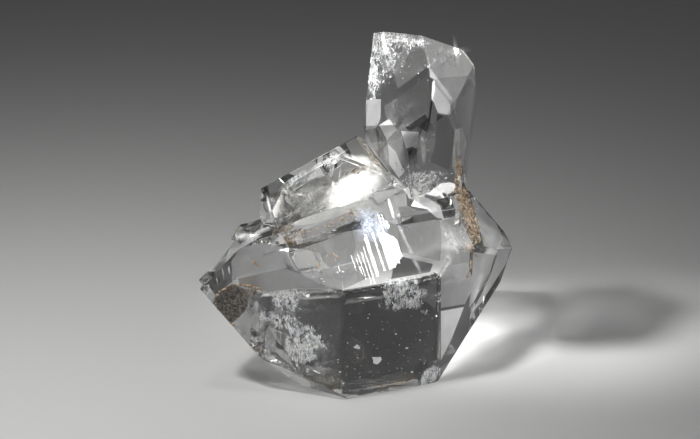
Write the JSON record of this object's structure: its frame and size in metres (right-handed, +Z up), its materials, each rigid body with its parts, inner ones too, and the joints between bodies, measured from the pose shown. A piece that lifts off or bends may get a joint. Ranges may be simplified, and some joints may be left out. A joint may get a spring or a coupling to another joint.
{
  "type": "herkimer diamond crystal cluster",
  "caption": "Clear, doubly terminated quartz crystals grown together: a broad one lies across, another stands on it and a flat-topped one leans beside that. It rests on a small flat.",
  "frame": {"origin": "under the middle of the cluster's box, on the surface that it rests on", "axes": "+Z is up, +X is to the right of the front view in the picture, +Y is away from that view"},
  "size_m": [0.0304, 0.0236, 0.0338],
  "materials": {
    "clear_quartz": "clear colourless quartz with bright natural crystal faces, fine growth lines and a few veils inside",
    "white_veil": "milky veils, healed cracks and frosted patches in the quartz",
    "brown_clay": "matt brown clay and iron stain grains left in seams and pits"
  },
  "bodies": {
    "root": {"quartz_cluster": "clear_quartz"}
  },
  "joints": []
}
